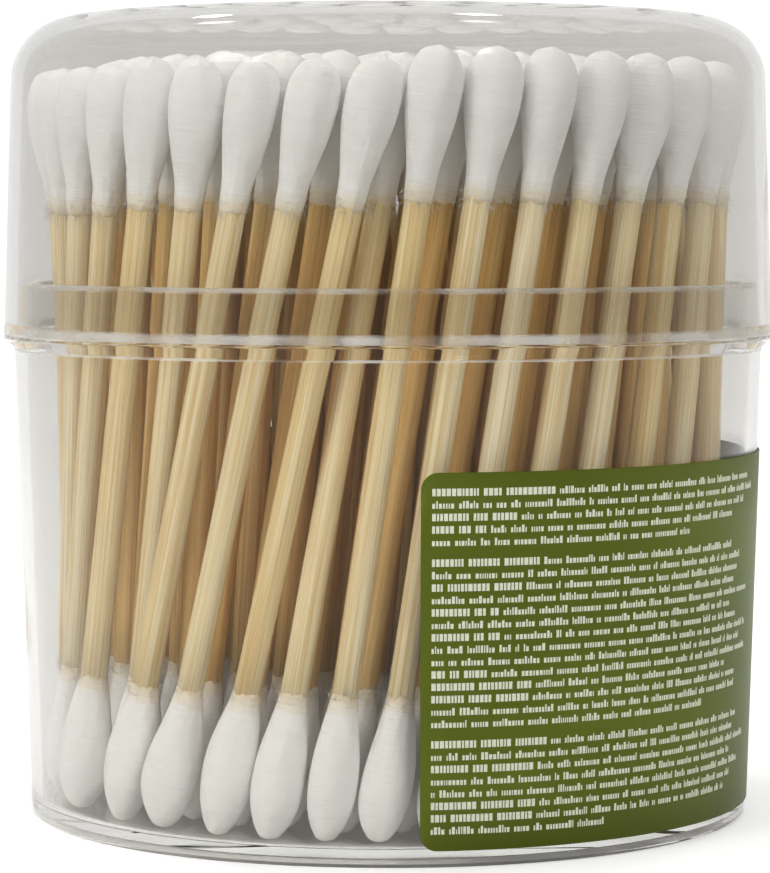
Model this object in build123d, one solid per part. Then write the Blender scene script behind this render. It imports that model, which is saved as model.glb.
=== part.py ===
from build123d import *
import math
import os

import numpy as np

# A clear round tub of two-ended swabs with a lift-off lid.
# Millimetres and degrees. +Z is up, the tub stands on Z = 0, and the front is towards -Y.

# Swabs
swab_length = 74.0
stem_diameter = 2.5
upper_tip_diameter = 5.0
upper_tip_length = 14.5
lower_tip_diameter = 4.5
lower_tip_length = 14.0
tip_neck_diameter = 3.0  # where the cotton starts on the stem
tip_end_diameter = 2.4  # the blunt end of a tip
upper_crown_length = 4.2  # from the widest place of a tip to its end
lower_crown_length = 6.0
swab_sides = 6  # flat sides round each swab
swab_gap = 0.45  # least room between neighbouring swabs
standing_gap = 0.05  # between a swab's end and the floor

# Tub
mouth_radius = 37.35  # outside of the wall where the flange starts
tub_wall = 1.1
wall_draft = 1.8  # degrees, on the tub, its collar and the lid
floor_thickness = 0.9
floor_corner_radius = 1.0
foot_height = 0.6  # depth of the hollow under the floor
foot_width = 1.8
foot_chamfer = 0.4
seat_height = 47.8  # top of the flange, where the lid sits
flange_land = 0.35
flange_slope_height = 1.1
collar_height = 5.1
collar_step = 0.25  # the collar stands this far inside the wall below

# Lid
lid_wall = 1.1
lid_clearance = 0.2  # between the collar and the lid
lid_shoulder_radius = 6.3
lid_headroom = 2.4  # above the tallest swab
lead_in_width = 0.35
lead_in_height = 1.0

# Label
label_bottom = 1.6
label_height = 34.7
label_thickness = 0.12
label_glue = 0.1
label_start = 4.6  # from the front, towards the right
label_sweep = 205.0
label_corner_radius = 1.6

# How the swabs lie
tub_side_gap = 0.4  # between the tips and the tub's wall
lid_side_gap = 0.8  # between the tips and the lid's wall
row_twist = 24.0  # from a swab's foot to its head, seen from above
row_offset = 37.0  # turns each row on from the one outside it
# The swabs at the front of the outer row: where the foot and the head stand round the tub,
# and how far each of them stands in from the outer row, in swab widths.
front_swabs = (
    (-80.0, -49.0, 0.0, 0.0),
    (-64.0, -39.0, 0.0, 0.0),
    (-57.0, -30.0, 1.0, 0.0),
    (-52.5, -20.0, 0.0, 0.0),
    (-41.0, -11.0, 0.0, 0.0),
    (-28.7, -2.6, 0.0, 0.0),
    (-18.2, 3.0, 0.0, 1.0),
    (-10.0, 7.7, 0.0, 0.0),
    (-1.5, 15.8, 0.0, 0.0),
    (6.5, 24.0, 0.0, 0.0),
    (15.0, 33.5, 0.0, 0.0),
    (24.0, 45.0, 0.0, 0.0),
    (37.0, 58.0, 0.0, 0.0),
    (48.0, 71.0, 0.0, 0.0),
    (66.0, 90.0, 0.0, 0.0),
)
settle_rounds = 600
settle_rate = 0.4
settle_limit = 0.02  # millimetres of unevenness left in the bundle

# Heights and radii that follow from the sizes above
floor_top = foot_height + floor_thickness
flange_bottom = seat_height - flange_land - flange_slope_height
collar_top = seat_height + collar_height
collar_radius = mouth_radius - collar_step
lid_inner_radius = collar_radius + lid_clearance
lid_outer_radius = lid_inner_radius + lid_wall
lid_ceiling = floor_top + standing_gap + swab_length + lid_headroom
lid_top = lid_ceiling + lid_wall
wall_lean = math.tan(math.radians(wall_draft))
base_radius = mouth_radius - wall_lean * flange_bottom
mouth_inner_radius = mouth_radius - tub_wall


def wall_radius(height):
    return base_radius + wall_lean * height


def turned(points, sweep=360.0):
    return revolve(Plane.XZ * make_face(Polyline(*points, close=True)), Axis.Z, sweep)


def nearest_edges(solid, radius, height):
    rings = solid.edges().filter_by(GeomType.CIRCLE)
    return rings.sort_by(lambda e: abs(e.radius - radius) + abs(e.arc_center.Z - height))[:1]


def make_tub():
    foot_inner_radius = base_radius - foot_chamfer - foot_width
    floor_inner_radius = wall_radius(floor_top) - tub_wall
    profile = (
        (0, foot_height),
        (foot_inner_radius, foot_height),
        (foot_inner_radius, 0),
        (base_radius - foot_chamfer, 0),
        (wall_radius(foot_chamfer), foot_chamfer),
        (mouth_radius, flange_bottom),
        (lid_outer_radius, seat_height - flange_land),
        (lid_outer_radius, seat_height),
        (collar_radius, seat_height),
        (collar_radius - wall_lean * collar_height, collar_top),
        (mouth_inner_radius, collar_top),
        (mouth_inner_radius, flange_bottom),
        (floor_inner_radius, floor_top),
        (0, floor_top),
    )
    tub = turned(profile)
    return fillet(nearest_edges(tub, floor_inner_radius, floor_top), floor_corner_radius)


def make_lid():
    rise = lid_top - seat_height
    lead_in_radius = lid_inner_radius - wall_lean * lead_in_height
    outer_top_radius = lid_outer_radius - wall_lean * rise
    inner_top_radius = lid_inner_radius - wall_lean * (rise - lid_wall)
    profile = (
        (lid_inner_radius + lead_in_width, seat_height),
        (lid_outer_radius, seat_height),
        (outer_top_radius, lid_top),
        (0, lid_top),
        (0, lid_ceiling),
        (inner_top_radius, lid_ceiling),
        (lead_in_radius, seat_height + lead_in_height),
    )
    lid = turned(profile)
    lid = fillet(nearest_edges(lid, outer_top_radius, lid_top), lid_shoulder_radius)
    return fillet(nearest_edges(lid, inner_top_radius, lid_ceiling), lid_shoulder_radius - lid_wall)


def make_label():
    label_top = label_bottom + label_height
    inner = [wall_radius(z) + label_glue for z in (label_bottom, label_top)]
    profile = (
        (inner[0], label_bottom),
        (inner[0] + label_thickness, label_bottom),
        (inner[1] + label_thickness, label_top),
        (inner[1], label_top),
    )
    label = turned(profile, label_sweep)
    # What lies outside the round of a corner is cut off, straight out from the axis.
    radius = label_corner_radius
    waste = Pos(radius / 2, radius / 2) * Rectangle(radius, radius) - Pos(radius, radius) * Circle(radius)
    cut_depth = max(inner) + 2 * label_thickness
    for end, inwards in ((0, 1), (label_sweep, -1)):
        for height, upwards in ((label_bottom, 1), (label_top, -1)):
            flip = inwards * upwards
            outwards = Vector(flip, 0, 0).rotate(Axis.Z, end)
            along = Vector(0, inwards, 0).rotate(Axis.Z, end)
            corner = Plane(origin=(0, 0, height), x_dir=along, z_dir=outwards)
            label -= extrude(corner * waste, cut_depth * flip)
    return Rot(0, 0, label_start - 90) * label


def prism_stack(sections):
    # Flat faces between flat-sided outlines, each outline a height and a width.
    turns = [2 * math.pi * i / swab_sides for i in range(swab_sides)]
    rings = [
        [(width / 2 * math.cos(turn), width / 2 * math.sin(turn), height) for turn in turns]
        for height, width in sections
    ]
    outlines = [rings[0], rings[-1]]
    for below, above in zip(rings, rings[1:]):
        for i in range(swab_sides):
            outlines.append([below[i - 1], below[i], above[i], above[i - 1]])
    return Solid(Shell([Face(Wire.make_polygon(outline)) for outline in outlines]))


def swab_sections():
    neck = swab_length - upper_tip_length
    lower = (
        (0, tip_end_diameter),
        (lower_crown_length, lower_tip_diameter),
        (lower_tip_length, tip_neck_diameter),
    )
    stem = ((lower_tip_length, stem_diameter), (neck, stem_diameter))
    upper = (
        (neck, tip_neck_diameter),
        (swab_length - upper_crown_length, upper_tip_diameter),
        (swab_length, tip_end_diameter),
    )
    return lower, stem, upper


def polar(angle, radius):
    # Angles run round from the front towards the right.
    turn = math.radians(angle - 90)
    return (radius * math.cos(turn), radius * math.sin(turn))


def inner_reach(height):
    # Free radius inside the tub, and inside the lid above the tub's collar.
    if height <= flange_bottom:
        return wall_radius(height) - tub_wall - tub_side_gap
    if height <= collar_top:
        return mouth_inner_radius - tub_side_gap
    return lid_inner_radius - wall_lean * (height - seat_height) - lid_side_gap


def start_rows(row_pitch, foot_reach, head_reach):
    # Rings of swabs from the wall inwards, each as a list of foot and head places.
    rows = []
    for step in range(math.ceil(foot_reach / row_pitch)):
        foot_radius = foot_reach - step * row_pitch
        head_radius = foot_radius * head_reach / foot_reach
        count = max(1, int(2 * math.pi * foot_radius / row_pitch))
        places = []
        if step == 0:
            for foot, head, foot_in, head_in in front_swabs:
                places.append((polar(foot, foot_radius - foot_in * row_pitch),
                               polar(head, head_radius - head_in * row_pitch)))
            first, last = front_swabs[0], front_swabs[-1]
        else:
            first = (step * row_offset - 360, step * row_offset - 360 + row_twist)
            last = first
        rest = count - len(places)
        steps = rest + 1 if places else rest
        for i in range(1, rest + 1):
            foot = last[0] + (first[0] + 360 - last[0]) * i / steps
            head = last[1] + (first[1] + 360 - last[1]) * i / steps
            places.append((polar(foot, foot_radius), polar(head, head_radius)))
        rows.append(places)
    return rows


def settle(feet, heads, shares, widths, reach):
    # Eases the swabs apart, and away from the walls, until none touches another.
    far = 1e6 * np.eye(len(feet))[:, :, None]
    spread = (1 - shares) ** 2 + shares ** 2
    for _ in range(settle_rounds):
        spine = feet[:, None] + shares[None, :, None] * (heads - feet)[:, None]
        slant = np.linalg.norm(heads - feet, axis=1).max() / swab_length
        room = (widths + swab_gap) / math.sqrt(1 - slant ** 2)
        offset = spine[:, None] - spine[None]
        distance = np.linalg.norm(offset, axis=-1) + far
        short = np.clip(room - distance, 0, None)
        push = (offset * (short / distance)[..., None]).sum(axis=1) / 2
        radius = np.linalg.norm(spine, axis=-1)
        beyond = np.clip(radius - reach, 0, None)
        push -= spine * (beyond / np.maximum(radius, settle_limit))[..., None]
        feet = feet + settle_rate * (push * ((1 - shares) / spread)[:, None]).sum(axis=1)
        heads = heads + settle_rate * (push * (shares / spread)[:, None]).sum(axis=1)
        if max(short.max(), beyond.max()) < settle_limit:
            break
    return feet, heads


def swab_rows():
    # The place of every swab, row by row.
    lower, stem, upper = swab_sections()
    sections = list(lower) + list(upper)
    between = (1, 2, 3, 4, 5)
    stem_run = stem[1][0] - stem[0][0]
    sections += [(stem[0][0] + stem_run * k / (len(between) + 1), stem_diameter) for k in between]
    heights = np.array([height for height, _ in sections])
    widths = np.array([width for _, width in sections])
    reach = np.array([inner_reach(floor_top + height) for height in heights]) - widths / 2
    row_pitch = max(upper_tip_diameter, lower_tip_diameter) + swab_gap
    rows = start_rows(row_pitch, reach[1], reach[4])
    feet = np.array([foot for row in rows for foot, _ in row])
    heads = np.array([head for row in rows for _, head in row])
    feet, heads = settle(feet, heads, heights / swab_length, widths, reach)
    ends = np.cumsum([len(row) for row in rows])[:-1]
    return list(zip(np.split(feet, ends), np.split(heads, ends)))


def swab_place(foot, head):
    # A swab stands on the edge of its lower end and leans from its foot to its head.
    shift = (head - foot) / swab_length
    lean = math.hypot(*shift)
    height = floor_top + standing_gap + tip_end_diameter / 2 * lean
    axis = (shift[0], shift[1], math.sqrt(1 - lean ** 2))
    return Plane(origin=(foot[0], foot[1], height), z_dir=axis).location


os.makedirs("parts", exist_ok=True)
export_step(make_tub(), "parts/tub.step")
export_step(make_lid(), "parts/lid.step")
export_step(make_label(), "parts/label.step")

lower_tip, stem, upper_tip = [prism_stack(sections) for sections in swab_sections()]
for number, (feet, heads) in enumerate(swab_rows(), start=1):
    places = [swab_place(foot, head) for foot, head in zip(feet, heads)]
    for name, piece in (("lower_tips", lower_tip), ("stems", stem), ("upper_tips", upper_tip)):
        group = Compound([place * piece for place in places])
        export_step(group, f"parts/{name}_row_{number}.step")
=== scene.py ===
import math

import bmesh
import bpy
import numpy as np
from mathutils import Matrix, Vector


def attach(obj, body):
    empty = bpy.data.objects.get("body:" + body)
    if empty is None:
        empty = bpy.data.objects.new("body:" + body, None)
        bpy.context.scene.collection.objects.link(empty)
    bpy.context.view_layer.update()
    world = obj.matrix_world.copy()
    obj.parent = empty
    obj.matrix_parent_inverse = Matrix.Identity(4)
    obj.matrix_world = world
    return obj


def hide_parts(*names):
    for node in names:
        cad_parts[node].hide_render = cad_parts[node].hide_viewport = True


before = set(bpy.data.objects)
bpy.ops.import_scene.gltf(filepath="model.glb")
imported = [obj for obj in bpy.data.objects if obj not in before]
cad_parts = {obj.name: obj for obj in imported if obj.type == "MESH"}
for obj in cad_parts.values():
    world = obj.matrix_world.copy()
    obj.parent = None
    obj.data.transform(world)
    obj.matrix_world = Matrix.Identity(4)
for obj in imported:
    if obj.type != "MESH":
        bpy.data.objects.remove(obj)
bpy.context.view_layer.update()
mm = 0.001
wallLean = math.tan(math.radians(1.8))  # draft of every moulded wall
print("frame loaded with", len(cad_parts), "nodes")


# shared mesh and node helpers

def addPiece(name, points, faces, material, body, replaced=(), uv=None, shares=None, smooth=True):
    mesh = bpy.data.meshes.new(name)
    mesh.from_pydata([tuple(p) for p in points], [], [tuple(int(i) for i in f) for f in faces])
    mesh.validate()
    corners = np.empty(len(mesh.loops), dtype=np.int32)
    mesh.loops.foreach_get("vertex_index", corners)
    for layerName, values in (("surface", uv), ("share", shares)):
        if values is not None:
            layer = mesh.uv_layers.new(name=layerName)
            layer.data.foreach_set("uv", np.asarray(values, dtype=np.float32)[corners].ravel())
    if smooth:
        mesh.polygons.foreach_set("use_smooth", [True] * len(mesh.polygons))
    mesh.update()
    piece = bpy.data.objects.new(name, mesh)
    bpy.context.scene.collection.objects.link(piece)
    piece.data.materials.append(material)
    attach(piece, body)
    if replaced:
        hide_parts(*replaced)
    return piece


def newMaterial(name):
    material = bpy.data.materials.new(name)
    material.use_nodes = True
    tree = material.node_tree
    return material, tree, tree.nodes["Principled BSDF"]


def addNode(tree, kind, inputs=None, **settings):
    node = tree.nodes.new(kind)
    for key, value in settings.items():
        setattr(node, key, value)
    for key, value in (inputs or {}).items():
        if isinstance(value, bpy.types.NodeSocket):
            tree.links.new(value, node.inputs[key])
        else:
            node.inputs[key].default_value = value
    return node


def colourRamp(tree, fac, stops):
    ramp = addNode(tree, "ShaderNodeValToRGB", {"Fac": fac})
    elements = ramp.color_ramp.elements
    while len(elements) < len(stops):
        elements.new(0.5)
    for element, (place, colour) in zip(elements, stops):
        element.position = place
        element.color = (*colour, 1.0)
    return ramp.outputs["Color"]


def valueRange(tree, value, low, high, fromLow=0.0, fromHigh=1.0):
    node = addNode(tree, "ShaderNodeMapRange", {"Value": value, "From Min": fromLow, "From Max": fromHigh,
                                                "To Min": low, "To Max": high})
    return node.outputs["Result"]


def mathOn(tree, operation, *values):
    node = addNode(tree, "ShaderNodeMath", dict(enumerate(values)), operation=operation)
    return node.outputs["Value"]


def mixColours(tree, share, colour, other, blend="MIX"):
    node = addNode(tree, "ShaderNodeMix", {"Factor": share, "A": colour, "B": other},
                   data_type="RGBA", blend_type=blend)
    return node.outputs["Result"]


def separated(tree, vector, axis):
    return addNode(tree, "ShaderNodeSeparateXYZ", {"Vector": vector}).outputs[axis]


def stretchedUv(tree, scale):
    uv = addNode(tree, "ShaderNodeUVMap", uv_map="surface").outputs["UV"]
    return addNode(tree, "ShaderNodeMapping", {"Vector": uv, "Scale": scale}).outputs["Vector"]


def noiseOn(tree, vector, scale, detail=2.0, roughness=0.55):
    node = addNode(tree, "ShaderNodeTexNoise",
                   {"Vector": vector, "Scale": scale, "Detail": detail, "Roughness": roughness})
    return node.outputs["Fac"]


def noiseOnUv(tree, stretch, detail=2.0, roughness=0.55):
    # flat noise over the surface, stretched along one of its two ways
    node = addNode(tree, "ShaderNodeTexNoise",
                   {"Vector": stretchedUv(tree, (*stretch, 1.0)), "Scale": 1.0, "Detail": detail,
                    "Roughness": roughness}, noise_dimensions="2D")
    return node.outputs["Fac"]


def bumpFrom(tree, height, distance, strength=1.0, below=None):
    inputs = {"Height": height, "Distance": distance, "Strength": strength}
    if below is not None:
        inputs["Normal"] = below
    return addNode(tree, "ShaderNodeBump", inputs).outputs["Normal"]


# clear moulded plastic, shared by tub and lid

plasticLook = {
    "tubTint": (0.803, 0.79, 0.763, 1.0),
    "lidTint": (0.768, 0.758, 0.733, 1.0),
    "lampTint": (0.96, 0.957, 0.95, 1.0),
    "ior": 1.24,
    "waveSize": 90.0,  # slow waves left by the mould
    "waveDepth": 0.00006,
    "hazeSize": 160.0,
    "hazeSpan": (0.56, 0.8),  # noise values over which the wall turns dull
    "hazy": 0.06,
    "frost": 0.4,
    "frostSpan": (0.36, 0.62),  # noise values over which the frost grows
    "leastFrost": 0.15,
    "edgeClear": 0.6,  # how clear the frosted edge still is
    "collarFrost": (0.6, 0.3),  # starts and is full at these depths below the collar's top
    "skirtFrost": (1.0, 0.6),  # and at these heights above the lid's lower edge
    "lineWide": 0.14,
    "tubCaught": 10.5,  # bounces after which light counts as caught in the wall
    "lidCaught": 8.5,
}


def makeClearPlastic(name, tint, caughtAfter, frostHeights, lineAt):
    # frosted and milky past the second of the two heights, and along a thin line round the wall
    look = plasticLook
    material, tree, shader = newMaterial(name)
    place = addNode(tree, "ShaderNodeTexCoord").outputs["Object"]
    shader.inputs["Base Color"].default_value = tint
    shader.inputs["IOR"].default_value = look["ior"]
    patches = noiseOn(tree, place, look["hazeSize"], 1.0)
    height = separated(tree, place, "Z")
    edge = valueRange(tree, height, 0.0, 1.0, *(h * mm for h in frostHeights))
    line = mathOn(tree, "COMPARE", height, lineAt * mm, look["lineWide"] * mm)
    patchy = valueRange(tree, patches, look["leastFrost"], 1.0, *look["frostSpan"])
    edge = mathOn(tree, "MULTIPLY", mathOn(tree, "MAXIMUM", edge, line), patchy)
    tree.links.new(valueRange(tree, edge, 1.0, look["edgeClear"]), shader.inputs["Transmission Weight"])
    haze = valueRange(tree, patches, 0.0, look["hazy"], *look["hazeSpan"])
    frost = valueRange(tree, edge, 0.0, look["frost"])
    tree.links.new(mathOn(tree, "MAXIMUM", haze, frost), shader.inputs["Roughness"])
    waves = noiseOn(tree, place, look["waveSize"], 0.0)
    tree.links.new(bumpFrom(tree, waves, look["waveDepth"]), shader.inputs["Normal"])
    # lamps shine straight through the thin wall, and so does light that was long caught in it
    lampPass = addNode(tree, "ShaderNodeBsdfTransparent", {"Color": look["lampTint"]})
    rays = addNode(tree, "ShaderNodeLightPath").outputs
    caught = mathOn(tree, "GREATER_THAN", rays["Ray Depth"], caughtAfter)
    straight = mathOn(tree, "MAXIMUM", rays["Is Shadow Ray"], caught)
    mix = addNode(tree, "ShaderNodeMixShader",
                  {"Fac": straight, 1: shader.outputs["BSDF"], 2: lampPass.outputs["BSDF"]})
    tree.links.new(mix.outputs["Shader"], tree.nodes["Material Output"].inputs["Surface"])
    return material


def roundedOutline(corners, arcSteps=6, margin=0.12):
    # corners are (radius, height, rounding); ends stay sharp on the axis
    outline = []
    for i, (r, z, rounding) in enumerate(corners):
        here = np.array((r, z), float)
        if i in (0, len(corners) - 1) or rounding <= 0:
            outline.append(here)
            continue
        before = np.array(corners[i - 1][:2], float) - here
        after = np.array(corners[i + 1][:2], float) - here
        toBefore = before / np.linalg.norm(before)
        toAfter = after / np.linalg.norm(after)
        half = math.acos(np.clip(toBefore @ toAfter, -1, 1)) / 2
        run = rounding / math.tan(half)
        middle = toBefore + toAfter
        centre = here + middle / np.linalg.norm(middle) * rounding / math.sin(half)
        steps = max(3, int(arcSteps * (1 + rounding)))
        first, last = here + toBefore * run - centre, here + toAfter * run - centre
        sweep = math.pi - 2 * half
        outline.append(here + toBefore * (run + margin))
        for k in range(steps + 1):
            share = k / steps
            arm = first * math.sin((1 - share) * sweep) + last * math.sin(share * sweep)
            outline.append(centre + arm / math.sin(sweep))
        outline.append(here + toAfter * (run + margin))
    return np.array(outline)


def turnOutline(outline, segments=288):
    # a closed shell round the Z axis, with one point where the outline meets the axis
    turns = np.arange(segments) * 2 * math.pi / segments
    points, rings, faces = [], [], []
    for r, z in outline:
        if r == 0:
            rings.append([len(points)] * segments)
            points.append((0, 0, z * mm))
            continue
        rings.append(list(range(len(points), len(points) + segments)))
        points += [(r * math.cos(a) * mm, r * math.sin(a) * mm, z * mm) for a in turns]
    for low, high in zip(rings, rings[1:]):
        for i in range(segments):
            j = (i + 1) % segments
            loop = [low[i], low[j], high[j], high[i]]
            faces.append(list(dict.fromkeys(loop)))
    return points, faces


# tub

tubSizes = {
    "mouthRadius": 37.35, "wall": 1.1,
    "footHeight": 0.6, "footWidth": 1.8, "footChamfer": 0.4, "floorTop": 1.5,
    "flangeBottom": 46.35, "flangeLand": 0.35, "flangeRadius": 38.4, "seat": 47.8,
    "collarRadius": 37.1, "collarTopRadius": 36.94, "collarTop": 52.9,
    "floorCorner": 1.0, "mouthBend": 2.0, "edge": 0.12, "collarEdge": 0.25,
}


def wallRadius(z):
    return tubSizes["mouthRadius"] - wallLean * (tubSizes["flangeBottom"] - z)


def makeTub(material):
    s = tubSizes
    footRadius = wallRadius(0) - s["footChamfer"]
    inner = s["mouthRadius"] - s["wall"]
    floorRadius = wallRadius(s["floorTop"]) - s["wall"]
    e = s["edge"]
    outline = roundedOutline([
        (0, s["footHeight"], 0),
        (footRadius - s["footWidth"], s["footHeight"], e),
        (footRadius - s["footWidth"], 0, e),
        (footRadius, 0, e),
        (wallRadius(s["footChamfer"]), s["footChamfer"], e),
        (s["mouthRadius"], s["flangeBottom"], e),
        (s["flangeRadius"], s["seat"] - s["flangeLand"], e),
        (s["flangeRadius"], s["seat"], e),
        (s["collarRadius"], s["seat"], e),
        (s["collarTopRadius"], s["collarTop"], s["collarEdge"]),
        (inner, s["collarTop"], s["collarEdge"]),
        (inner, s["flangeBottom"], s["mouthBend"]),
        (floorRadius, s["floorTop"], s["floorCorner"]),
        (0, s["floorTop"], 0),
    ])
    points, faces = turnOutline(outline)
    return addPiece("tub_clear_wall", points, faces, material, "tub", ("tub",))


# lid

lidSizes = {
    "innerRadius": 37.3, "outerRadius": tubSizes["flangeRadius"], "wall": tubSizes["wall"],
    "seat": tubSizes["seat"], "top": 79.05, "shoulder": 6.3,
    "leadInWidth": 0.35, "leadInHeight": 1.0, "edge": 0.14,
}


def makeLid(material):
    s = lidSizes
    rise = s["top"] - s["seat"]
    ceiling = s["top"] - s["wall"]
    e = s["edge"]
    outline = roundedOutline([
        (0, s["top"], 0),
        (s["outerRadius"] - wallLean * rise, s["top"], s["shoulder"]),
        (s["outerRadius"], s["seat"], e),
        (s["innerRadius"] + s["leadInWidth"], s["seat"], e),
        (s["innerRadius"] - wallLean * s["leadInHeight"], s["seat"] + s["leadInHeight"], e),
        (s["innerRadius"] - wallLean * (rise - s["wall"]), ceiling, s["shoulder"] - s["wall"]),
        (0, ceiling, 0),
    ])
    points, faces = turnOutline(outline[::-1])
    return addPiece("lid_clear_cap", points, faces, material, "lid", ("lid",))


# swabs: every stem's line is read from the frame

swabLook = {
    "stemRadius": 1.25,
    "stemSides": 20,
    "stemRings": 7,
    "stemInset": 2.0,  # length of stem hidden in the cotton
    "splitSides": 0.012,  # how unevenly a stem is split round it and along it
    "splitRings": 0.008,
    "tipSides": 26,
    "tipRings": 34,
    "crowding": 0.55,  # how far the rings crowd towards the rounded end
    "lastRing": 0.9985,
    "upperLength": 14.5,
    "lowerLength": 14.0,
    # share of the tip from its neck, and radius there
    "upperShape": ((0, 1.23), (0.05, 1.34), (0.19, 1.5), (0.37, 1.98), (0.56, 2.48), (0.68, 2.62),
                   (0.76, 2.62), (0.85, 2.4), (0.92, 1.95), (0.97, 1.28), (1, 0)),
    "lowerShape": ((0, 1.23), (0.08, 1.38), (0.27, 1.86), (0.46, 2.26), (0.6, 2.36), (0.73, 2.26),
                   (0.86, 1.78), (0.94, 1.2), (0.98, 0.68), (1, 0)),
    "lumps": 0.022,
    "lumpWaves": (1, 2, 2, 3),  # lumps round the tip
    "lumpTwist": 7,
    "lumpRise": 6,  # lumps are full after one part in this many of the tip
    "ragged": 0.012,  # where the cotton thins out on the stem
    "raggedEnd": 9,  # over one part in this many
    "fatter": 0.05,
    "bulge": 0.05,
    "slide": 0.03,  # how far the fattest place moves along the tip
    "bent": 0.012,
    "skinStep": 0.55,  # millimetres of winding from side to side
    "seed": 41,
}
weldGap = 1e-6  # corners of a stem closer than this, in metres, are one
anyTurn = (0, 6.28)
anyGrain = (0, 400)  # where in the endless grain a piece begins, in millimetres
rowCount = sum(1 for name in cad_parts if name.startswith("stems_row_"))


def readStems(node):
    # the two end points of each stem of a row, in metres, in the order of the mesh
    work = bmesh.new()
    work.from_mesh(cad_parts[node].data)
    bmesh.ops.remove_doubles(work, verts=work.verts, dist=weldGap)
    work.verts.index_update()
    seen, ends = set(), []
    for start in work.verts:
        if start.index in seen:
            continue
        group, queue = [], [start]
        seen.add(start.index)
        while queue:
            vert = queue.pop()
            group.append(np.array(vert.co))
            for edge in vert.link_edges:
                other = edge.other_vert(vert)
                if other.index not in seen:
                    seen.add(other.index)
                    queue.append(other)
        group = np.array(group)
        middle = group[:, 2].mean()
        ends.append((group[group[:, 2] < middle].mean(0), group[group[:, 2] > middle].mean(0)))
    work.free()
    return ends


def crossAxes(axis):
    side = np.cross(axis, (0.0, 1.0, 0.0))
    side /= np.linalg.norm(side)
    return side, np.cross(axis, side)


def smoothShape(shape, shares):
    # a smooth radius through the given shares
    xs = np.array([p[0] for p in shape])
    ys = np.array([p[1] for p in shape])
    slopes = np.gradient(ys, xs)
    i = np.clip(np.searchsorted(xs, shares, side="right") - 1, 0, len(xs) - 2)
    width = xs[i + 1] - xs[i]
    t = (shares - xs[i]) / width
    radius = (ys[i] * (2 * t**3 - 3 * t**2 + 1) + slopes[i] * width * (t**3 - 2 * t**2 + t)
              + ys[i + 1] * (3 * t**2 - 2 * t**3) + slopes[i + 1] * width * (t**3 - t**2))
    return np.maximum(radius, 0)


def sweepRings(base, axis, heights, radii, sides, roll):
    # rings of points round an axis; radii is one row for each height
    u, v = crossAxes(axis)
    turns = roll + np.arange(sides) * 2 * math.pi / sides
    ring = np.cos(turns)[:, None] * u + np.sin(turns)[:, None] * v
    return base + heights[:, None, None] * axis + radii[:, :, None] * ring[None]


def tubeFaces(start, rings, sides):
    faces = []
    for k in range(rings - 1):
        low, high = start + k * sides, start + (k + 1) * sides
        for i in range(sides):
            j = (i + 1) % sides
            faces.append((low + i, low + j, high + j, high + i))
    faces.append(tuple(start + i for i in reversed(range(sides))))
    top = start + (rings - 1) * sides
    faces.append(tuple(top + i for i in range(sides)))
    return faces


def makeStems(row, ends, material):
    look = swabLook
    rng = np.random.default_rng(look["seed"] + row)
    sides, rings = look["stemSides"], look["stemRings"]
    points, faces, uv = [], [], []
    for low, high in ends:
        axis = (high - low) / np.linalg.norm(high - low)
        start = low - axis * look["stemInset"] * mm
        length = np.linalg.norm(high - low) + 2 * look["stemInset"] * mm
        heights = np.linspace(0, length, rings)
        flats = 1 + look["splitSides"] * rng.normal(size=sides)[None, :]
        flats = flats + look["splitRings"] * rng.normal(size=(rings, 1))
        radii = look["stemRadius"] * mm * flats
        cloud = sweepRings(start, axis, heights, radii, sides, rng.uniform(*anyTurn))
        faces += tubeFaces(len(points), rings, sides)
        points += list(cloud.reshape(-1, 3))
        offset = rng.uniform(*anyGrain, 2)
        for k in range(rings):
            for i in range(sides):
                around = abs(i - sides / 2) * 2 * math.pi * look["stemRadius"] / sides
                uv.append((around + offset[0], heights[k] / mm + offset[1]))
    return addPiece(f"bamboo_stems_row_{row}", points, faces, material, "tub",
                    (f"stems_row_{row}",), uv)


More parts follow.
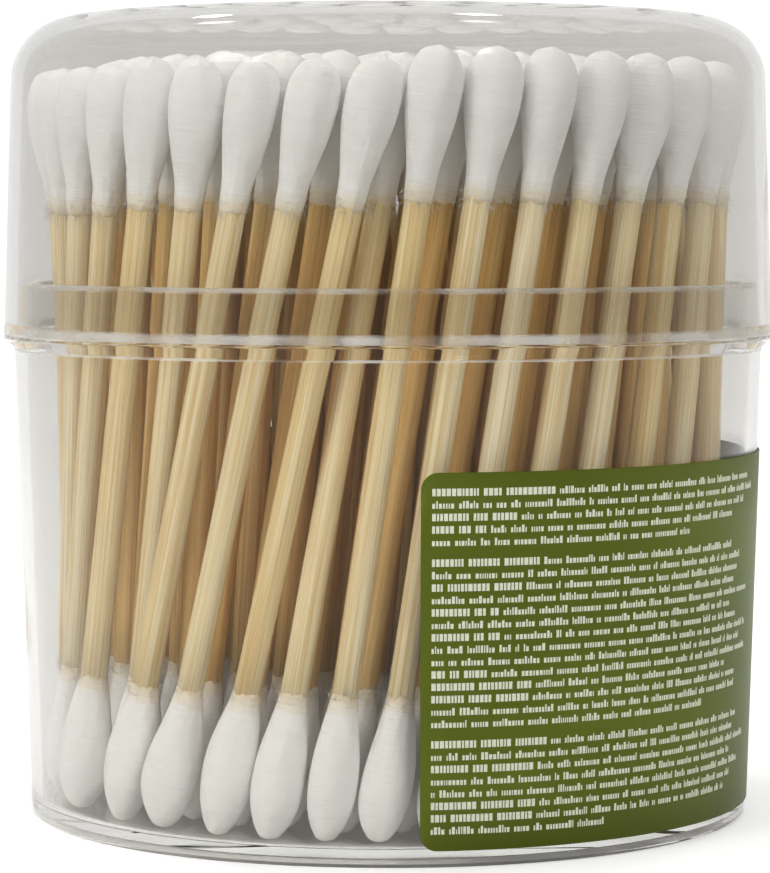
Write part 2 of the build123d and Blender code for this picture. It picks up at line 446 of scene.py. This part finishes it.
def makeTips(row, ends, material, upper):
    look = swabLook
    rng = np.random.default_rng(look["seed"] + 100 * row + upper)
    sides, rings = look["tipSides"], look["tipRings"]
    length = look["upperLength" if upper else "lowerLength"] * mm
    shape = look["upperShape" if upper else "lowerShape"]
    shares = look["crowding"] * np.sin(np.linspace(0, math.pi / 2, rings))
    shares += (1 - look["crowding"]) * np.linspace(0, 1, rings)
    shares[-1] = look["lastRing"]
    swell = np.sin(math.pi * shares)
    rise = np.clip(shares * look["lumpRise"], 0, 1)[:, None]
    thinning = np.clip(1 - shares * look["raggedEnd"], 0, 1)[:, None]
    turns = np.arange(sides) * 2 * math.pi / sides
    points, faces, uv, along, skins = [], [], [], [], []
    for low, high in ends:
        axis = (high - low) / np.linalg.norm(high - low)
        base, axis = (high, axis) if upper else (low, -axis)
        fat = 1 + look["fatter"] * rng.uniform(-1, 1)
        bulge = 1 + look["bulge"] * rng.uniform(-1, 1) * swell
        moved = np.clip(shares + look["slide"] * rng.uniform(-1, 1) * swell, 0, 1)
        lumps = np.zeros((rings, sides))
        for wave in look["lumpWaves"]:
            phase, twist = rng.uniform(*anyTurn), rng.uniform(-look["lumpTwist"], look["lumpTwist"])
            lumps += rng.normal() * np.cos(wave * turns[None, :] + phase + twist * shares[:, None])
        ragged = look["ragged"] * rng.normal(size=(rings, sides)) * thinning
        radii = smoothShape(shape, moved)[:, None] * (1 + (fat * bulge - 1)[:, None] * rise)
        radii = radii * (1 + look["lumps"] * lumps * rise + ragged) * mm
        lean = rng.normal(size=2) * look["bent"]
        u, v = crossAxes(axis)
        heights = shares * length
        cloud = sweepRings(base, axis, heights, radii, sides, rng.uniform(*anyTurn))
        cloud = cloud + ((shares**2)[:, None] * length * (lean[0] * u + lean[1] * v))[:, None, :]
        faces += tubeFaces(len(points), rings, sides)
        points += list(cloud.reshape(-1, 3))
        skins.append((cloud, axis))
        offset = rng.uniform(*anyGrain, 2)
        for k in range(rings):
            for i in range(sides):
                around = abs(i - sides / 2) * look["skinStep"]
                uv.append((around + offset[0], heights[k] / mm + offset[1]))
                along.append((shares[k], 0.5))
    name = "upper" if upper else "lower"
    addPiece(f"cotton_{name}_tips_row_{row}", points, faces, material, "tub",
             (f"{name}_tips_row_{row}",), uv, along)
    return skins


# loose cotton fibres: short fuzz on the tips, and wisps where the cotton ends on the stem

fuzzLook = {
    "thick": 0.017, "wispThick": 0.026,
    "slimmer": 0.8,  # share of the thickness left half way
    "short": (0.25, 0.7), "wisp": (0.5, 1.6),  # lengths
    "perTip": 32, "wispsPerTip": 44,
    "wispRings": 3,  # rings of the neck that wisps grow from
    "shownRows": 2, "innerShare": 0.06,  # rows further in have few fibres
    "wispDown": (0.2, 1.0), "wispOut": (0.1, 0.7), "wispAside": 0.6,
    "shortOut": (0.25, 0.8), "shortAside": 0.8, "shortAlong": 0.5,
    "bend": 0.45, "curlIn": 0.3,
    "sunk": 0.02,
    "corners": (0, 2.094, 4.189),  # a fibre has three sides
    "seed": 77,
}


def makeFuzz(row, skins, material):
    look = fuzzLook
    rng = np.random.default_rng(look["seed"] + row)
    share = 1.0 if row <= look["shownRows"] else look["innerShare"]
    points, faces = [], []
    for cloud, axis in skins:
        rings, sides = cloud.shape[:2]
        centres = cloud.mean(axis=1)
        for n in range(int(share * (look["perTip"] + look["wispsPerTip"]))):
            wisp = n < share * look["wispsPerTip"]
            k = int(rng.integers(0, look["wispRings"]) if wisp else rng.integers(1, rings - 1))
            i = int(rng.integers(0, sides))
            root = cloud[k, i]
            out = root - centres[k]
            out = out / np.linalg.norm(out)
            aside = np.cross(axis, out)
            if wisp:
                reach = rng.uniform(*look["wisp"]) * mm
                way = -axis * rng.uniform(*look["wispDown"]) + out * rng.uniform(*look["wispOut"])
                way = way + aside * rng.normal() * look["wispAside"]
            else:
                reach = rng.uniform(*look["short"]) * mm
                way = out * rng.uniform(*look["shortOut"]) + aside * rng.normal() * look["shortAside"]
                way = way + axis * rng.normal() * look["shortAlong"]
            way /= np.linalg.norm(way)
            bend = (aside * rng.normal() + axis * rng.normal() - out * look["curlIn"]) * look["bend"]
            middle = root + way * reach / 2
            end = root + (way + bend) * reach
            a, b = crossAxes(way)
            first = len(points)
            width = look["wispThick" if wisp else "thick"] * mm
            for centre, thick in ((root - out * look["sunk"] * mm, width), (middle, width * look["slimmer"])):
                for turn in look["corners"]:
                    points.append(centre + (a * math.cos(turn) + b * math.sin(turn)) * thick)
            points.append(end)
            faces.append((first + 2, first + 1, first))
            for t in range(3):
                w = (t + 1) % 3
                faces.append((first + t, first + w, first + 3 + w, first + 3 + t))
                faces.append((first + 3 + t, first + 3 + w, first + 6))
    return addPiece(f"cotton_fibres_row_{row}", points, faces, material, "tub")


# label, and the rows of plain ticks printed on it

labelSizes = {
    "start": 4.6, "sweep": 205.0,  # degrees from the front to the left edge, and round the wall
    "bottom": 1.6, "height": 34.7, "corner": 1.6, "glue": 0.1, "thick": 0.12,
    "columns": 180, "rows": 6, "cornerSteps": 8,
}
printLook = {
    "left": 1.0, "top": 1.45, "width": 41.0, "pitch": 1.135, "raise": 0.012,
    # rows of each paragraph, and the ones that start in bold
    "paragraphs": ((5, (0, 2, 3)), (14, (0, 2, 4, 6, 9, 10, 11)), (8, (0, 2, 5, 6))),
    "fullRow": (0.86, 1.0), "lastRow": (0.3, 0.7),  # shares of the width
    "paragraphGap": 0.75, "space": 0.36, "gap": 0.10, "boldWords": 3, "wordTicks": (2, 12),
    "tickWide": (0.10, 0.30), "boldWide": (0.17, 0.40), "small": 0.46, "tall": 0.68, "tallShare": 0.25,
    "seed": 9,
}


def onWall(along, z, lift):
    # along is millimetres round the wall from the label's left edge
    radius = wallRadius(z) + lift
    middle = wallRadius(labelSizes["bottom"] + labelSizes["height"] / 2)
    turn = math.radians(labelSizes["start"] - 90) + along / middle
    return (radius * math.cos(turn) * mm, radius * math.sin(turn) * mm, z * mm)


def makeLabel(material):
    s = labelSizes
    length = math.radians(s["sweep"]) * wallRadius(s["bottom"] + s["height"] / 2)
    corner = s["corner"]
    arc = [k / s["cornerSteps"] * math.pi / 2 for k in range(s["cornerSteps"])]
    arc = [corner * (1 - math.cos(turn)) for turn in arc]
    alongs = [*arc, *np.linspace(corner, length - corner, s["columns"]), *(length - a for a in arc[::-1])]
    points, uv, faces = [], [], []
    rows = s["rows"]
    for lift in (s["glue"] + s["thick"], s["glue"]):
        for along in alongs:
            near = min(along, length - along)
            cut = corner - math.sqrt(max(corner**2 - (corner - near)**2, 0)) if near < corner else 0
            for k in range(rows + 1):
                z = s["bottom"] + cut + (s["height"] - 2 * cut) * k / rows
                points.append(onWall(along, z, lift))
                uv.append((along, z))
    count, step = len(alongs), rows + 1
    half = count * step
    for c in range(count - 1):
        for k in range(rows):
            a, b = c * step + k, (c + 1) * step + k
            faces.append((a, b, b + 1, a + 1))
            faces.append((half + a, half + a + 1, half + b + 1, half + b))
        a, b = c * step, (c + 1) * step
        faces.append((a, half + a, half + b, b))
        faces.append((a + rows, b + rows, half + b + rows, half + a + rows))
    for c in (0, count - 1):
        for k in range(rows):
            a = c * step + k
            quad = (a, a + 1, half + a + 1, half + a)
            faces.append(quad if c == 0 else quad[::-1])
    return addPiece("label_film", points, faces, material, "tub", ("label",), uv)


def makePrint(material):
    s = printLook
    rng = np.random.default_rng(s["seed"])
    points, faces, uv = [], [], []
    z = labelSizes["bottom"] + labelSizes["height"] - s["top"] - s["tall"]
    for rows, boldRows in s["paragraphs"]:
        for row in range(rows):
            full = s["width"] * rng.uniform(*s["lastRow" if row == rows - 1 else "fullRow"])
            along, word = s["left"], 0
            while along < s["left"] + full:
                isBold = row in boldRows and word < s["boldWords"]
                for _ in range(int(rng.integers(*s["wordTicks"]))):
                    wide = rng.uniform(*s["boldWide" if isBold else "tickWide"])
                    tall = s["tall" if isBold or rng.uniform() < s["tallShare"] else "small"]
                    addBar(points, faces, uv, along, along + wide, z, z + tall)
                    along += wide + s["gap"]
                along += s["space"]
                word += 1
            z -= s["pitch"]
        z -= s["paragraphGap"]
    return addPiece("label_print_ticks", points, faces, material, "tub", (), uv,
                    smooth=False)


def addBar(points, faces, uv, left, right, low, high):
    # a thin raised bar on the label, closed all round
    first = len(points)
    lift = labelSizes["glue"] + labelSizes["thick"]
    for along in (left, right):
        for height, above in ((low, 0), (high, 0), (high, printLook["raise"]), (low, printLook["raise"])):
            points.append(onWall(along, height, lift + above))
            uv.append((along, height))
    for i in range(4):
        j = (i + 1) % 4
        faces.append((first + i, first + j, first + 4 + j, first + 4 + i))
    faces.append((first + 3, first + 2, first + 1, first))
    faces.append((first + 4, first + 5, first + 6, first + 7))


# finishes

white = (1.0, 1.0, 1.0)
bambooLook = {
    "pale": ((0.92, 0.79, 0.48), (0.96, 0.89, 0.66)),  # darkest and lightest stems of the outer row
    "shadedInner": ((0.86, 0.60, 0.24), (0.93, 0.71, 0.35)),  # and of the rows inside, darker and more saturated: painted shade for the rows in the outer row's shadow
    "toneStretch": (0.05, 0.006),
    "grain": (0.78, 0.62, 0.40), "grainStretch": (7.0, 0.05), "grainShare": 0.75, "grainDepth": 0.00006,
    "streak": (0.90, 0.80, 0.64), "streakStretch": (1.6, 0.016), "streakShare": 0.9,
    "rough": (0.55, 0.8), "specular": 0.35,
}


def makeBamboo(name, dark, light):
    look = bambooLook
    material, tree, shader = newMaterial(name)
    fibres = noiseOnUv(tree, look["grainStretch"], 2.0, 0.6)
    streaks = noiseOnUv(tree, look["streakStretch"], 1.0)
    tone = noiseOnUv(tree, look["toneStretch"], 0.0)
    base = colourRamp(tree, tone, ((0.3, dark), (0.7, light)))
    grain = colourRamp(tree, fibres, ((0.32, look["grain"]), (0.6, white)))
    streak = colourRamp(tree, streaks, ((0.3, look["streak"]), (0.65, white)))
    colour = mixColours(tree, look["grainShare"], base, grain, "MULTIPLY")
    colour = mixColours(tree, look["streakShare"], colour, streak, "MULTIPLY")
    tree.links.new(colour, shader.inputs["Base Color"])
    tree.links.new(valueRange(tree, fibres, *look["rough"]), shader.inputs["Roughness"])
    shader.inputs["Specular IOR Level"].default_value = look["specular"]
    tree.links.new(bumpFrom(tree, fibres, look["grainDepth"]), shader.inputs["Normal"])
    return material


cottonLook = {
    # the hollow colour is painted shade in the hollows of the windings
    "hollow": (0.92, 0.92, 0.91), "raised": (0.96, 0.96, 0.95),
    "neck": (0.83, 0.69, 0.42, 1.0),  # bamboo showing through
    "neckSpan": (0.04, 0.21), "neckThin": 0.95, "neckRagged": 0.12,
    "windStretch": (0.22, 5.2), "windDepth": 0.00007,
    "patchStretch": (0.5, 0.35), "patchDepth": 0.00035,
    "bump": 0.8, "rough": (0.85, 1.0), "specular": 0.15, "sheen": 0.25, "sheenRough": 0.6,
}


def makeCotton():
    look = cottonLook
    material, tree, shader = newMaterial("wound_cotton")
    windings = noiseOnUv(tree, look["windStretch"], 2.0, 0.6)
    patches = noiseOnUv(tree, look["patchStretch"], 1.0)
    # the hollows of the windings are painted darker than the raised windings, a painted shade
    colour = colourRamp(tree, windings, ((0.25, look["hollow"]), (0.62, look["raised"])))
    share = separated(tree, addNode(tree, "ShaderNodeUVMap", uv_map="share").outputs["UV"], "X")
    ragged = mathOn(tree, "MULTIPLY_ADD", windings, look["neckRagged"], share)
    thin = valueRange(tree, ragged, look["neckThin"], 0.0, *look["neckSpan"])
    tree.links.new(mixColours(tree, thin, colour, look["neck"]), shader.inputs["Base Color"])
    tree.links.new(valueRange(tree, patches, *look["rough"]), shader.inputs["Roughness"])
    shader.inputs["Specular IOR Level"].default_value = look["specular"]
    shader.inputs["Sheen Weight"].default_value = look["sheen"]
    shader.inputs["Sheen Roughness"].default_value = look["sheenRough"]
    soft = bumpFrom(tree, patches, look["patchDepth"], look["bump"])
    tree.links.new(bumpFrom(tree, windings, look["windDepth"], look["bump"], soft), shader.inputs["Normal"])
    return material


fibreLook = {"dark": (0.76, 0.76, 0.75), "light": (0.86, 0.86, 0.85), "size": 900.0, "rough": (0.8, 1.0)}


def makeFibre():
    look = fibreLook
    material, tree, shader = newMaterial("cotton_fibre")
    place = addNode(tree, "ShaderNodeTexCoord").outputs["Object"]
    tone = noiseOn(tree, place, look["size"])
    colour = colourRamp(tree, tone, ((0.3, look["dark"]), (0.7, look["light"])))
    tree.links.new(colour, shader.inputs["Base Color"])
    tree.links.new(valueRange(tree, tone, *look["rough"]), shader.inputs["Roughness"])
    return material


filmLook = {
    "dark": (0.088, 0.113, 0.009), "light": (0.112, 0.142, 0.014),
    "broadStretch": (0.04, 0.06), "fineStretch": (4.0, 4.0), "fineDepth": 0.000012,
    "rough": (0.3, 0.46), "specular": 0.09,
}


def makeLabelGreen():
    look = filmLook
    material, tree, shader = newMaterial("green_label_film")
    broad = noiseOnUv(tree, look["broadStretch"])
    fine = noiseOnUv(tree, look["fineStretch"])
    colour = colourRamp(tree, broad, ((0.3, look["dark"]), (0.7, look["light"])))
    tree.links.new(colour, shader.inputs["Base Color"])
    tree.links.new(valueRange(tree, fine, *look["rough"]), shader.inputs["Roughness"])
    tree.links.new(bumpFrom(tree, fine, look["fineDepth"]), shader.inputs["Normal"])
    shader.inputs["Specular IOR Level"].default_value = look["specular"]
    return material


inkLook = {
    "worn": (0.60, 0.61, 0.45), "fresh": (0.74, 0.75, 0.60), "stretch": (5.0, 5.0), "rough": (0.35, 0.55),
}


def makePrintInk():
    look = inkLook
    material, tree, shader = newMaterial("cream_print")
    wear = noiseOnUv(tree, look["stretch"])
    colour = colourRamp(tree, wear, ((0.3, look["worn"]), (0.6, look["fresh"])))
    tree.links.new(colour, shader.inputs["Base Color"])
    tree.links.new(valueRange(tree, wear, *look["rough"]), shader.inputs["Roughness"])
    return material


collarFrost = [tubSizes["collarTop"] - depth for depth in plasticLook["collarFrost"]]
skirtFrost = [lidSizes["seat"] + height for height in plasticLook["skirtFrost"]]
clearTub = makeClearPlastic("clear_plastic_tub", plasticLook["tubTint"], plasticLook["tubCaught"],
                            collarFrost, tubSizes["flangeBottom"])
clearLid = makeClearPlastic("clear_plastic_lid", plasticLook["lidTint"], plasticLook["lidCaught"],
                            skirtFrost, lidSizes["seat"])
makeTub(clearTub)
makeLid(clearLid)
print("tub and lid turned")

# one bamboo for the outer row, and a darker copy for the rows inside that is painted shade
paleBamboo = makeBamboo("pale_bamboo", *bambooLook["pale"])
shadedInnerBamboo = makeBamboo("inner_bamboo_painted_shade", *bambooLook["shadedInner"])
cotton = makeCotton()
fibre = makeFibre()
for row in range(1, rowCount + 1):
    ends = readStems(f"stems_row_{row}")
    # rows inside take the darker bamboo copy, which is painted shade
    makeStems(row, ends, paleBamboo if row == 1 else shadedInnerBamboo)
    skins = makeTips(row, ends, cotton, True) + makeTips(row, ends, cotton, False)
    makeFuzz(row, skins, fibre)
    print("row", row, "has", len(ends), "swabs")

makeLabel(makeLabelGreen())
makePrint(makePrintInk())
print("label and print laid on the wall")


# floor, lamps, world and camera

studio = {
    "floorColour": ((0.90, 0.90, 0.90), (0.93, 0.93, 0.93)),
    "floorTone": 3.0, "floorRough": 0.8, "floorSpecular": 0.2,
    "floorHalf": 1.6, "backAt": 1.1, "bend": 0.4, "bendSteps": 12, "wallHigh": 0.8,
    "worldLight": 0.9,
    "worldFront": 0.38,  # the room behind the camera is dim
    "dimWay": (0.4, -0.92, 0), "dimSpan": (0.3, 0.9),
    "floorGlow": 0.3, "backGlow": 0.46,  # lifts the backdrop to white where it is looked at
    "nearSpan": (-0.25, -0.03), "farSpan": (0.1, 0.9),  # depths over which the glow grows
    "plasticGlow": 0.5,  # share of it that is seen by way of the plastic
    "key": {"place": (-0.62, -0.60, 0.40), "size": 0.26, "power": 1.8},
    "fill": {"place": (0.34, -0.66, 0.50), "size": 0.15, "power": 0.8},
    "topLeft": {"place": (-0.25, 0.26, 0.65), "size": 0.055, "power": 0.45},
    "topRight": {"place": (0.14, 0.16, 0.72), "size": 0.065, "power": 0.35},
    "aim": (0, 0, 0.045),
    "wallBounces": 15,  # light runs far along the clear floor and walls
    "swabBounces": 4,  # and often from swab to swab
}
cameraLook = {"distance": 0.3512, "eye": 0.05887, "focalPixels": 3490.0, "eyeRow": 222.3,
              "wide": 770, "tall": 873, "sensor": 36.0, "axisColumn": 388.0, "clip": (0.01, 20)}


def lookedAt(tree):
    # one for rays that look straight at the backdrop, and a share of it by way of the plastic
    rays = addNode(tree, "ShaderNodeLightPath").outputs
    inPlastic = mathOn(tree, "MAXIMUM", rays["Is Glossy Ray"], rays["Is Transmission Ray"])
    inPlastic = valueRange(tree, inPlastic, 0.0, studio["plasticGlow"])
    return mathOn(tree, "MAXIMUM", rays["Is Camera Ray"], inPlastic)


def makeFloor():
    s = studio
    material, tree, shader = newMaterial("pale_studio_floor")
    place = addNode(tree, "ShaderNodeTexCoord").outputs["Object"]
    tone = noiseOn(tree, place, s["floorTone"])
    colour = colourRamp(tree, tone, ((0.3, s["floorColour"][0]), (0.7, s["floorColour"][1])))
    tree.links.new(colour, shader.inputs["Base Color"])
    shader.inputs["Roughness"].default_value = s["floorRough"]
    shader.inputs["Specular IOR Level"].default_value = s["floorSpecular"]
    shader.inputs["Emission Color"].default_value = (*white, 1)
    depth = separated(tree, place, "Y")
    near = valueRange(tree, depth, 0.0, s["floorGlow"], *s["nearSpan"])
    far = valueRange(tree, depth, 0.0, s["backGlow"] - s["floorGlow"], *s["farSpan"])
    glow = mathOn(tree, "MULTIPLY", mathOn(tree, "ADD", near, far), lookedAt(tree))
    tree.links.new(glow, shader.inputs["Emission Strength"])
    outline = [(-s["floorHalf"], 0.0), (s["backAt"], 0.0)]
    for k in range(1, s["bendSteps"] + 1):
        turn = k / s["bendSteps"] * math.pi / 2
        outline.append((s["backAt"] + s["bend"] * math.sin(turn), s["bend"] * (1 - math.cos(turn))))
    outline.append((s["backAt"] + s["bend"], s["wallHigh"]))
    points = [(x, y, z) for y, z in outline for x in (-s["floorHalf"], s["floorHalf"])]
    faces = [(2 * k, 2 * k + 1, 2 * k + 3, 2 * k + 2) for k in range(len(outline) - 1)]
    mesh = bpy.data.meshes.new("studio_floor")
    mesh.from_pydata(points, [], faces)
    mesh.polygons.foreach_set("use_smooth", [True] * len(faces))
    floor = bpy.data.objects.new("studio_floor", mesh)
    bpy.context.scene.collection.objects.link(floor)
    floor.data.materials.append(material)


def makeLamp(name, lamp):
    light = bpy.data.lights.new(name, "AREA")
    light.size = lamp["size"]
    light.energy = lamp["power"]
    holder = bpy.data.objects.new(name, light)
    holder.location = lamp["place"]
    aim = Vector(studio["aim"]) - Vector(lamp["place"])
    holder.rotation_euler = aim.to_track_quat("-Z", "Y").to_euler()
    bpy.context.scene.collection.objects.link(holder)


def makeWorld():
    world = bpy.data.worlds.new("studio_world")
    bpy.context.scene.world = world
    world.use_nodes = True
    tree = world.node_tree
    background = tree.nodes["Background"]
    background.inputs["Color"].default_value = (*white, 1)
    way = addNode(tree, "ShaderNodeTexCoord").outputs["Generated"]
    front = addNode(tree, "ShaderNodeVectorMath", {0: way, 1: studio["dimWay"]}, operation="DOT_PRODUCT")
    level = valueRange(tree, front.outputs["Value"], studio["worldLight"], studio["worldFront"],
                       *studio["dimSpan"])
    tree.links.new(level, background.inputs["Strength"])


def makeCamera():
    s = cameraLook
    data = bpy.data.cameras.new("photo_camera")
    data.sensor_fit = "VERTICAL"
    data.sensor_height = s["sensor"]
    data.lens = s["focalPixels"] / s["tall"] * s["sensor"]
    data.clip_start, data.clip_end = s["clip"]
    camera = bpy.data.objects.new("photo_camera", data)
    pitch = math.atan((s["tall"] / 2 - s["eyeRow"]) / s["focalPixels"])
    turn = math.atan((s["axisColumn"] - s["wide"] / 2) / s["focalPixels"])
    camera.location = (0, -s["distance"], s["eye"])
    camera.rotation_euler = (math.pi / 2 - pitch, 0, turn)
    bpy.context.scene.collection.objects.link(camera)
    bpy.context.scene.camera = camera


makeFloor()
for lampName in ("key", "fill", "topLeft", "topRight"):
    makeLamp(lampName, studio[lampName])
makeWorld()
makeCamera()
bpy.context.scene.view_settings.view_transform = "Standard"
cycles = bpy.context.scene.cycles
cycles.max_bounces = studio["wallBounces"]
cycles.transmission_bounces = studio["wallBounces"]
cycles.glossy_bounces = studio["wallBounces"]
cycles.diffuse_bounces = studio["swabBounces"]
print("studio set")
